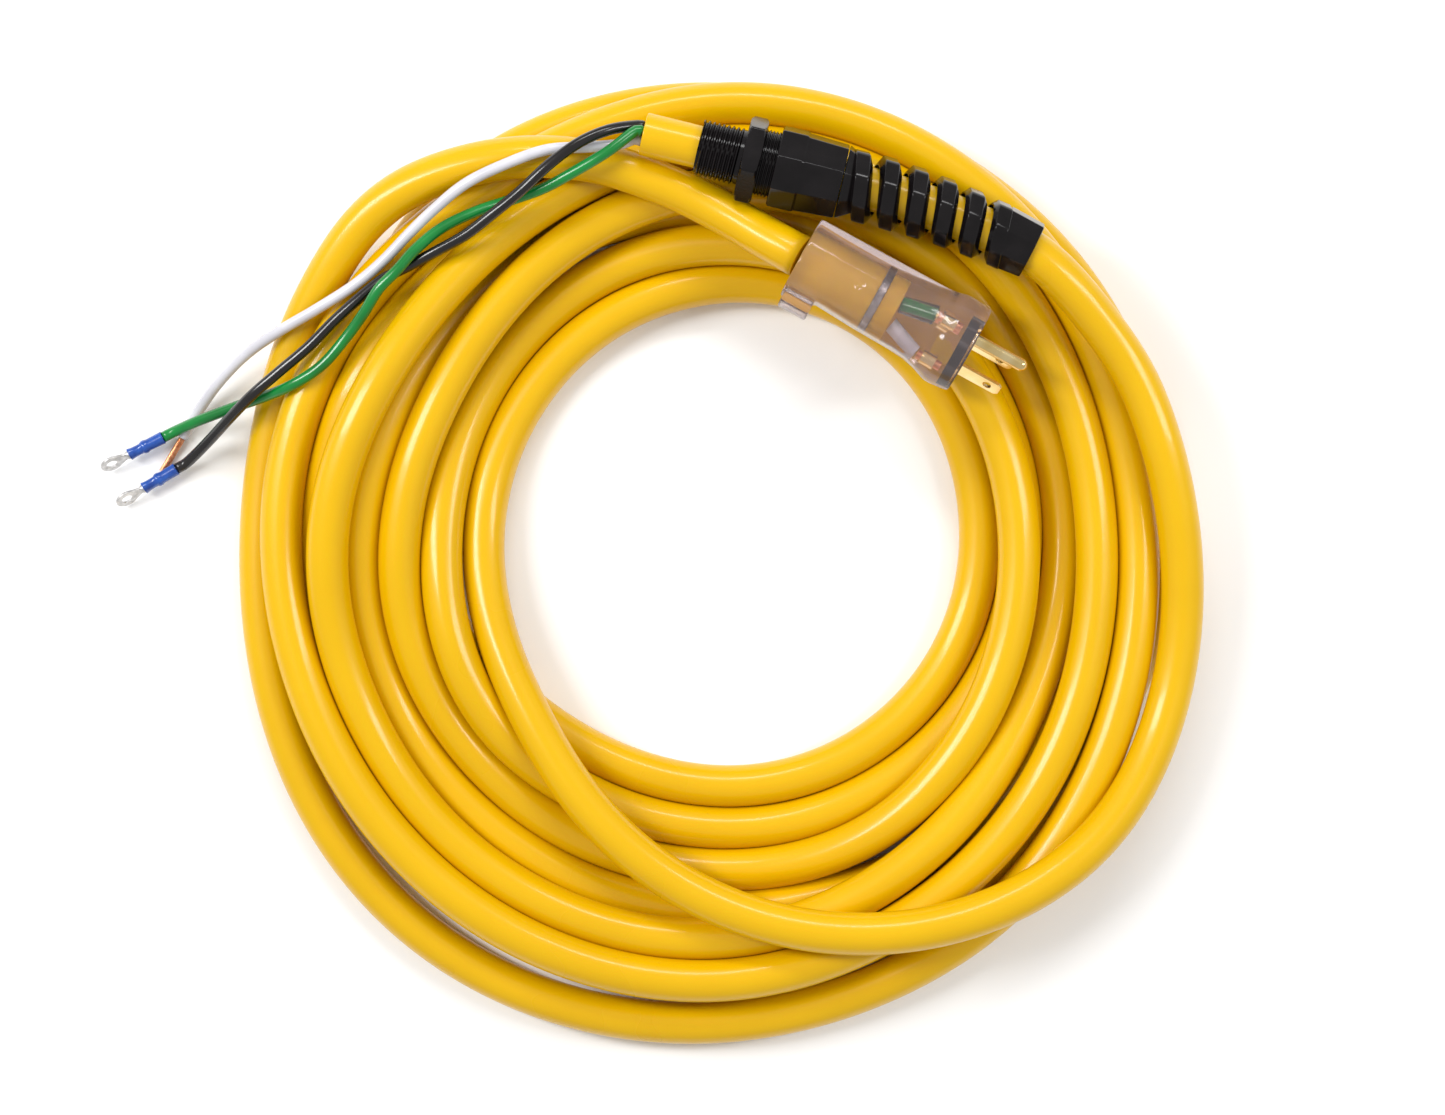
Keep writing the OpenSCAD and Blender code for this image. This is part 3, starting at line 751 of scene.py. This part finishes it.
def build_hexagon():
    angles = facet_angles(6, HEX_TURN)
    shares = flats(angles, 6, HEX_TURN)
    corner = HEX_AF / 2 / math.cos(math.pi / 6)
    depths = np.concatenate([[0, 0.12], np.linspace(0.3, 1.1, 5), np.linspace(5.7, 6.5, 5), [6.68, HEX_LEN]])
    rings = []
    for along in depths:
        edge = min(along, HEX_LEN - along)
        limit = HEX_AF / 2 + 0.3 + 1.9 * edge ** 0.9
        radius = np.minimum(corner * shares - (0.3 if edge == 0 else 0), limit)
        rings.append(np.stack([radius * np.cos(angles), radius * np.sin(angles),
                               np.full(len(angles), along)], axis=1))
    bore = turned(((HEX_BORE_R, HEX_LEN), (HEX_BORE_R, 0)), angles)
    rings = in_gland(np.concatenate([rings, bore]))
    hexagon = skin("gland_hexagon", rings, MATERIALS["black_nylon"], loop=True)
    return finished(hexagon, "root", "black_nylon", "gland_body", crease=30)


def build_gland_body():
    build_hexagon()
    threaded("pipe_thread", start=-16.7, end=-1.2, pitch=1.814,
             root=9.75, crest=10.65, bore=8.35, taper=0.012)
    threaded("nut_thread", start=6.6, end=19, pitch=1.25,
             root=11.75, crest=12.36, bore=10.32, taper=0)
    angles = round_angles(96)
    neck = turned(((10.2, -1.4), (10.2, 0.3), (8.35, 0.3), (8.35, -1.4)), angles)
    collar = skin("gland_neck", in_gland(neck), MATERIALS["black_nylon"], loop=True)
    finished(collar, "root", "black_nylon")


def build_nut():
    """The octagonal compression nut: a gripping section, a chamfered step and a tapering barrel."""
    angles = facet_angles(FACETS, FACET_TURN)
    shares = flats(angles, FACETS, FACET_TURN)
    profile = (
        (15.0, 12.4, True), (15.55, 12.75, True), (15.7, 13.2, True), (15.7, 21.7, True),
        (15.6, 22.1, True), (15.15, 22.65, True), (15.1, 23.0, True), (14.3, 37.2, True),
        (14.05, 37.6, True), (13.7, 37.7, True), (9.6, 37.7), (9.4, 37.4), (9.4, 24.8),
        (12.45, 24.8), (12.45, 13.0), (12.9, 12.4),
    )
    rings = in_gland(turned(profile, angles, shares))
    nut = skin("compression_nut_shell", rings, MATERIALS["black_nylon"], loop=True)
    finished(nut, "nut", "black_nylon", "compression_nut", crease=40)


def on_tail(radius, angle, along):
    """A point of the bent flex tail, in the strain relief's turned frame and in millimetres."""
    bend_r = TAIL_R / MM
    bend = (along - TAIL_FROM / MM) / bend_r
    out = -radius * np.sin(angle)
    return np.stack([-radius * np.cos(angle),
                     -bend_r * (1 - np.cos(bend)) + out * np.cos(bend),
                     TAIL_FROM / MM + bend_r * np.sin(bend) + out * np.sin(bend)], axis=-1)


def tail_rings(profile):
    """Rings that stand square to the bent tail, for a profile of (corner radius, distance, faceted)."""
    bend_r, start = TAIL_R / MM, TAIL_FROM / MM
    angles = facet_angles(FACETS, FACET_TURN)
    points = turned(profile, angles, flats(angles, FACETS, FACET_TURN))
    bend = (points[..., 2] - start) / bend_r
    y = points[..., 1]
    return in_gland(np.stack([points[..., 0], -bend_r + (bend_r + y) * np.cos(bend),
                              start + (bend_r + y) * np.sin(bend)], axis=-1))


def build_flex_tail():
    """The flex tail: a flank that leaves the nut, a spiral rib with flat facets, and an end collar."""
    nylon = MATERIALS["black_nylon"]
    flank = tail_rings((
        (13.9, 38.0, True), (14.1, 38.2, True), (14.0, 38.6, True), (11.4, 43.2, True),
        (11.1, 43.5, True), (TAIL_BORE_R, 43.5), (TAIL_BORE_R, 38.0)))
    finished(skin("flex_tail_flank", flank, nylon, loop=True), "seal_slider", "black_nylon", "flex_tail")
    collar = tail_rings((
        (11.7, COLLAR_FROM, True), (12.0, COLLAR_FROM + 0.3, True), (11.15, 112.4, True),
        (10.95, 112.85, True), (10.6, 113, True), (TAIL_BORE_R + 0.2, 113), (TAIL_BORE_R, 112.6),
        (TAIL_BORE_R, COLLAR_FROM)))
    finished(skin("flex_tail_collar", collar, nylon, loop=True), "seal_slider", "black_nylon")

    start = SPIRAL_START + math.pi / FACETS
    one_turn = facet_angles(FACETS, 0)
    angles = np.concatenate([one_turn + 2 * math.pi * k for k in range(int(SPIRAL_TURNS) + 1)])
    angles = angles[(angles >= 0) & (angles <= 2 * math.pi * SPIRAL_TURNS)] + start
    along = SPIRAL_FROM + SPIRAL_PITCH * (angles - start) / (2 * math.pi)
    outer = np.interp(along, (38, COLLAR_FROM), (14.25, 12.2)) * flats(angles, FACETS, 0, 60)
    section = (
        (0, 0, 4.1), (0, RIB_FOOT_R, 4.1), (1, -0.55, 2.75), (1, -0.12, 2.45), (1, 0, 2.1), (1, 0, -2.1),
        (1, -0.12, -2.45), (1, -0.55, -2.75), (0, RIB_FOOT_R, -4.1), (0, 0, -4.1))
    rings = []
    for faceted, radius, offset in section:
        radii = outer + radius if faceted else np.full(len(angles), max(radius, TAIL_BORE_R))
        rings.append(on_tail(radii, angles + FACET_TURN, along + offset))
    rib = skin("flex_tail_spiral", in_gland(np.stack(rings, axis=1)), nylon)
    finished(rib, "seal_slider", "black_nylon", crease=50)


def build_cut_jacket():
    """The straight length of cord through the strain relief, with the edge of its cut end worn round."""
    profile = ((7.2, JACKET_CUT + 0.02), (7.6, JACKET_CUT), (7.9, JACKET_CUT + 0.18),
               (8.0, JACKET_CUT + 0.5), (8.0, 0), (8.0, CORE_END - 0.05))
    rings = in_gland(turned(profile, round_angles(64)))
    jacket = skin("cut_jacket", rings, MATERIALS["yellow_jacket"])
    finished(jacket, "root", "yellow_jacket", "cord_gland_core")


# ---------- plug ----------

def plug_radius(angles, along):
    """The clear moulding's outside: a round body, a tab to pull on, and a finger recess."""
    body = np.interp(along, (-71.4, -71.1, -70.6, -25, -20, -16, -13, -10.5, -9, -7, -3, -0.7, -0.2, 0),
                     (15.3, 15.8, 16.0, 16.25, 16.3, 16.5, 17.0, 17.7, 17.8, 17.75, 17.4, 17.15, 16.9, 16.5))
    side = np.cos(angles + math.pi / 2)
    facing = np.maximum(side, 1e-3)
    radius = np.full(len(angles), body)
    if TAB_FROM < along < TAB_TO:
        reach = TAB_REACH - 0.5 * max(0, 1 - min(along - TAB_FROM, TAB_TO - along) / 0.6)
        across = np.maximum(np.abs(np.sin(angles + math.pi / 2)), 1e-3)
        tab = np.where(side > 0, np.minimum(reach, TAB_HALF_W / across), 0)
        radius = (radius ** 30 + tab ** 30) ** (1 / 30)
    if TAB_TO <= along < RECESS_TO:
        depth = np.interp(along, (TAB_TO, -58.0, -42, -26, -20, -15.5, -11.5, RECESS_TO),
                          (12.9, 12.4, 13.3, 13.7, 14.3, 15.6, 17.3, 18.8))
        cut = np.where(side > 0, depth / facing, 1000)
        radius = (radius ** -40 + cut ** -40) ** (-1 / 40)
    dimple = ((along + 47) ** 2 + (16 * (angles - math.pi)) ** 2) / 1.7 ** 2
    return radius - 0.9 * np.exp(-dimple ** 1.5)


def build_plug_body():
    angles = round_angles(144)
    places = np.concatenate([
        (-71.4, -71.3, -71.1, -70.8, -70.41, -70.35, -70.1, -69.8), np.linspace(-69, -60, 8),
        (-59.4, -59.1, -58.9, -58.8, -58.5, -58.0), np.linspace(-57, -50, 7),
        np.linspace(-49.4, -44.6, 17), np.linspace(-43, -21, 18), np.linspace(-20, -9, 18),
        (-8.5, -7, -5, -3, -2, -1.2, -0.7, -0.4, -0.2, -0.05, 0)])
    rings = []
    for along in places:
        radius = plug_radius(angles, along)
        rings.append(np.stack([radius * np.cos(angles), radius * np.sin(angles),
                               np.full(len(angles), along)], axis=1))
    body = skin("plug_moulding", in_plug(np.array(rings)), MATERIALS["clear_plastic"])
    return finished(body, "root", "clear_plastic", "plug_body", crease=50)


def stamped(name, outline, hole, thickness, bevel, thin_from=1000.0, thin_to=1001.0):
    """Vertices and faces of a flat plate with a hole and softened edges, drawn in X and Z."""
    curve = bpy.data.curves.new(name, "CURVE")
    curve.dimensions = "2D"
    curve.fill_mode = "BOTH"
    curve.extrude = thickness / 2 - bevel
    curve.bevel_depth = bevel
    curve.bevel_resolution = 2
    curve.offset = -bevel
    for points in (outline, hole):
        path = curve.splines.new("POLY")
        path.points.add(len(points) - 1)
        for point, (x, z) in zip(path.points, points):
            point.co = (x, z, 0, 1)
        path.use_cyclic_u = True
    source = bpy.data.objects.new(name, curve)
    mesh = bpy.data.meshes.new_from_object(source)
    vertices = np.array([tuple(v.co) for v in mesh.vertices])
    faces = [tuple(p.vertices) for p in mesh.polygons]
    bpy.data.objects.remove(source)
    bpy.data.curves.remove(curve)
    bpy.data.meshes.remove(mesh)
    thin = 1 - 0.45 * np.clip((vertices[:, 1] - thin_from) / (thin_to - thin_from), 0, 1)
    return np.stack([vertices[:, 0], vertices[:, 2] * thin, vertices[:, 1]], axis=1), faces


def circle_points(x, z, radius, start=0.0, end=360.0, count=40):
    turn = np.radians(np.linspace(start, end, count, endpoint=end - start < 360))
    return [(x + radius * math.cos(a), z + radius * math.sin(a)) for a in turn]


def build_blade(name, node, y):
    outline = [(-3.17, -5.5), (3.17, -5.5), (3.17, 15.2), (2.9, 16.1), (2.1, 17.0), (-2.1, 17.0),
               (-2.9, 16.1), (-3.17, 15.2)]
    hole = circle_points(0, 11.8, 1.6, 0, 351)
    points, faces = stamped(name, outline, hole, 1.5, 0.15, 14.5, 17)
    points = points + np.array((BLADE_X, y, 0))
    blade = new_object(name, in_plug(points, PRONG_TURN), faces, MATERIALS["prong_brass"])
    return finished(blade, "root", "prong_brass", node, crease=30)


def build_prongs():
    nose = [(2.4 * math.cos(a), 18.9 + 2.4 * math.sin(a)) for a in np.radians((*range(0, 90, 10), 86))]
    profile = [(1.9, -5.5), (1.9, 0.1), (2.32, 0.1), (2.4, 0.25)] + nose
    rings = turned(profile, round_angles(48)) + np.array((PIN_X, 0, 0))
    pin = skin("earth_pin", in_plug(rings, PRONG_TURN), MATERIALS["prong_brass"])
    return [
        finished(pin, "root", "prong_brass", "ground_pin"),
        build_blade("line_blade_stamped", "line_blade", -BLADE_GAP / 2),
        build_blade("neutral_blade_stamped", "neutral_blade", BLADE_GAP / 2),
    ]


def build_plug_band():
    profile = ((8.02, -40.5), (9.0, -40.5), (9.2, -40.3), (9.2, -37.7), (9.0, -37.5), (8.02, -37.5))
    rings = in_plug(turned(profile, round_angles(72)))
    band = skin("plug_ferrule", rings, MATERIALS["band_metal"], loop=True)
    return finished(band, "root", "band_metal", "plug_band")


# ---------- conductors and terminals ----------

def stranded(name, line, pitch):
    """Nineteen fine wires laid round one line and twisted."""
    across, upward = carried_sides(line)
    travelled = distances(line)
    vertices, faces = [], []
    sides = 8
    fine_r = STRAND_D / 10
    ring = round_angles(sides)
    ring_x, ring_y = np.cos(ring)[:, None], np.sin(ring)[:, None]
    for layer, count in ((0, 1), (1, 6), (2, 12)):
        for k in range(count):
            spin = 2 * math.pi * (k / count + travelled / pitch) + 0.3 * layer
            out = layer * 2 * fine_r
            middle = line + (out * np.cos(spin))[:, None] * across + (out * np.sin(spin))[:, None] * upward
            first = len(vertices)
            for centre, side, top in zip(middle, across, upward):
                vertices.extend(centre + fine_r * (ring_x * side + ring_y * top))
            faces.extend(ring_faces(len(line), sides, False, first))
    return new_object(name, vertices, faces, MATERIALS["copper"])


def build_bare_copper():
    start, tip = np.array(WHITE_RUN[-1]) * MM, np.array(BARE_TIP) * MM
    ahead = (tip - start) / np.linalg.norm(tip - start)
    line = respace(np.array([start + ahead * 0.5 * MM, tip]), 0.8 * MM)
    strands = stranded("bare_strands_white", line, 16 * MM)
    return finished(strands, "root", "copper", "bare_copper_white")


def lead_end(points, end, heading):
    return placed(points, np.array(end) * MM, heading, TERMINAL_ROLL)


def build_terminal(colour, end, heading):
    """A blue vinyl sleeve, squeezed where it was crimped, with a ring terminal in it."""
    angles = round_angles(48)
    squeeze = ((0.1, 2.42, 2.42), (0.3, 2.5, 2.5), (0.8, 2.44, 2.44), (6.2, 2.32, 2.32), (6.9, 2.4, 2.4),
               (7.4, 2.62, 2.62), (8.3, 2.66, 2.62), (8.8, 2.45, 2.4), (9.4, 2.25, 2.05), (10.4, 2.2, 1.98),
               (11.6, 2.2, 1.98), (12.4, 2.25, 2.0), (13.1, 2.4, 2.05), (14.0, 2.75, 2.1), (14.5, 2.95, 2.15))
    outer = np.array([np.stack([w * np.cos(angles), t * np.sin(angles), np.full(48, z)], axis=1)
                      for z, w, t in squeeze])
    inner = turned(((1.87, 14.4), (1.87, 1.0), (2.1, 0.1)), angles)
    rings = lead_end(np.concatenate([outer, inner]), end, heading)
    sleeve = skin("sleeve_" + colour + "_vinyl", rings, MATERIALS["sleeve_blue"], loop=True)
    finished(sleeve, "root", "sleeve_blue", "sleeve_" + colour, crease=60)

    necking = ((5.0, 1.8, 1.8), (5.2, 1.84, 1.84), (14.7, 1.84, 1.84), (15.3, 1.86, 1.5),
               (16.0, 1.92, 0.85), (16.6, 2.0, 0.5), (17.3, 2.05, 0.43))
    barrel = np.array([np.stack([w * np.cos(angles), t * np.sin(angles), np.full(48, z)], axis=1)
                       for z, w, t in necking])
    barrel = skin("terminal_barrel_" + colour, lead_end(barrel, end, heading), MATERIALS["tinned_metal"])
    finished(barrel, "root", "tinned_metal", "ring_terminal_" + colour)
    outline = ([(2.0, 16.2), (2.35, 17.4), (3.0, 18.6)] + circle_points(0, RING_AT, RING_R, -38, 218)
               + [(-3.0, 18.6), (-2.35, 17.4), (-2.0, 16.2)])
    hole = circle_points(0, RING_AT, STUD_HOLE_R, 0, 351)
    points, faces = stamped("terminal_ring_" + colour, outline, hole, 0.9, 0.12)
    ring = new_object("terminal_ring_" + colour, lead_end(points, end, heading), faces,
                      MATERIALS["tinned_metal"])
    finished(ring, "root", "tinned_metal", crease=30)
    return [sleeve, barrel, ring, frame["nodes"]["copper_tip_" + colour]]


# ---------- stage ----------

CAMERA_HEIGHT = 1.35
SENSOR = 36
# The picture is this wide at this distance from the camera
PICTURE_WIDTH = 0.5347
PICTURE_DISTANCE = 1.30
LENS = SENSOR * PICTURE_DISTANCE / PICTURE_WIDTH


def build_camera():
    data = bpy.data.cameras.new("camera")
    data.lens = LENS
    data.sensor_width = SENSOR
    camera = bpy.data.objects.new("camera", data)
    camera.location = (0, 0, CAMERA_HEIGHT)
    bpy.context.scene.collection.objects.link(camera)
    bpy.context.scene.camera = camera


def build_floor():
    half = 3.0
    material, tree, shader = new_material("floor", (0.93, 0.93, 0.93), 0.6)
    varied(tree, shader, 2, (0.92, 0.92, 0.92), (0.94, 0.94, 0.94), 0.58, 0.62)
    corners = [(-half, -half, 0), (half, -half, 0), (half, half, 0), (-half, half, 0)]
    floor = new_object("floor", corners, [(0, 1, 2, 3)], material, smooth=False)


def add_area_light(name, place, size, power):
    data = bpy.data.lights.new(name, "AREA")
    data.shape = "RECTANGLE"
    data.size, data.size_y = size
    data.energy = power
    light = bpy.data.objects.new(name, data)
    light.location = place
    light.rotation_euler = (-Vector(place)).to_track_quat("-Z", "Y").to_euler()
    bpy.context.scene.collection.objects.link(light)


def build_lights():
    world = bpy.data.worlds.new("studio")
    world.use_nodes = True
    world.node_tree.nodes["Background"].inputs["Color"].default_value = (1, 1, 1, 1)
    world.node_tree.nodes["Background"].inputs["Strength"].default_value = 0.54
    bpy.context.scene.world = world
    add_area_light("left_softbox", (-1.3, 0.5, 1.5), (0.35, 1.2), 27)
    add_area_light("right_softbox", (1.3, 0.3, 1.4), (0.3, 1.0), 13)
    add_area_light("top_softbox", (0.1, 1.5, 1.6), (1.2, 0.3), 14)
    bpy.context.scene.view_settings.view_transform = "Standard"


build_camera()
paint_cad_nodes()
build_gland_body()
build_nut()
build_flex_tail()
build_cut_jacket()
build_main_cord([build_plug_body(), build_plug_band()] + build_prongs())
build_leads()
build_floor()
build_lights()
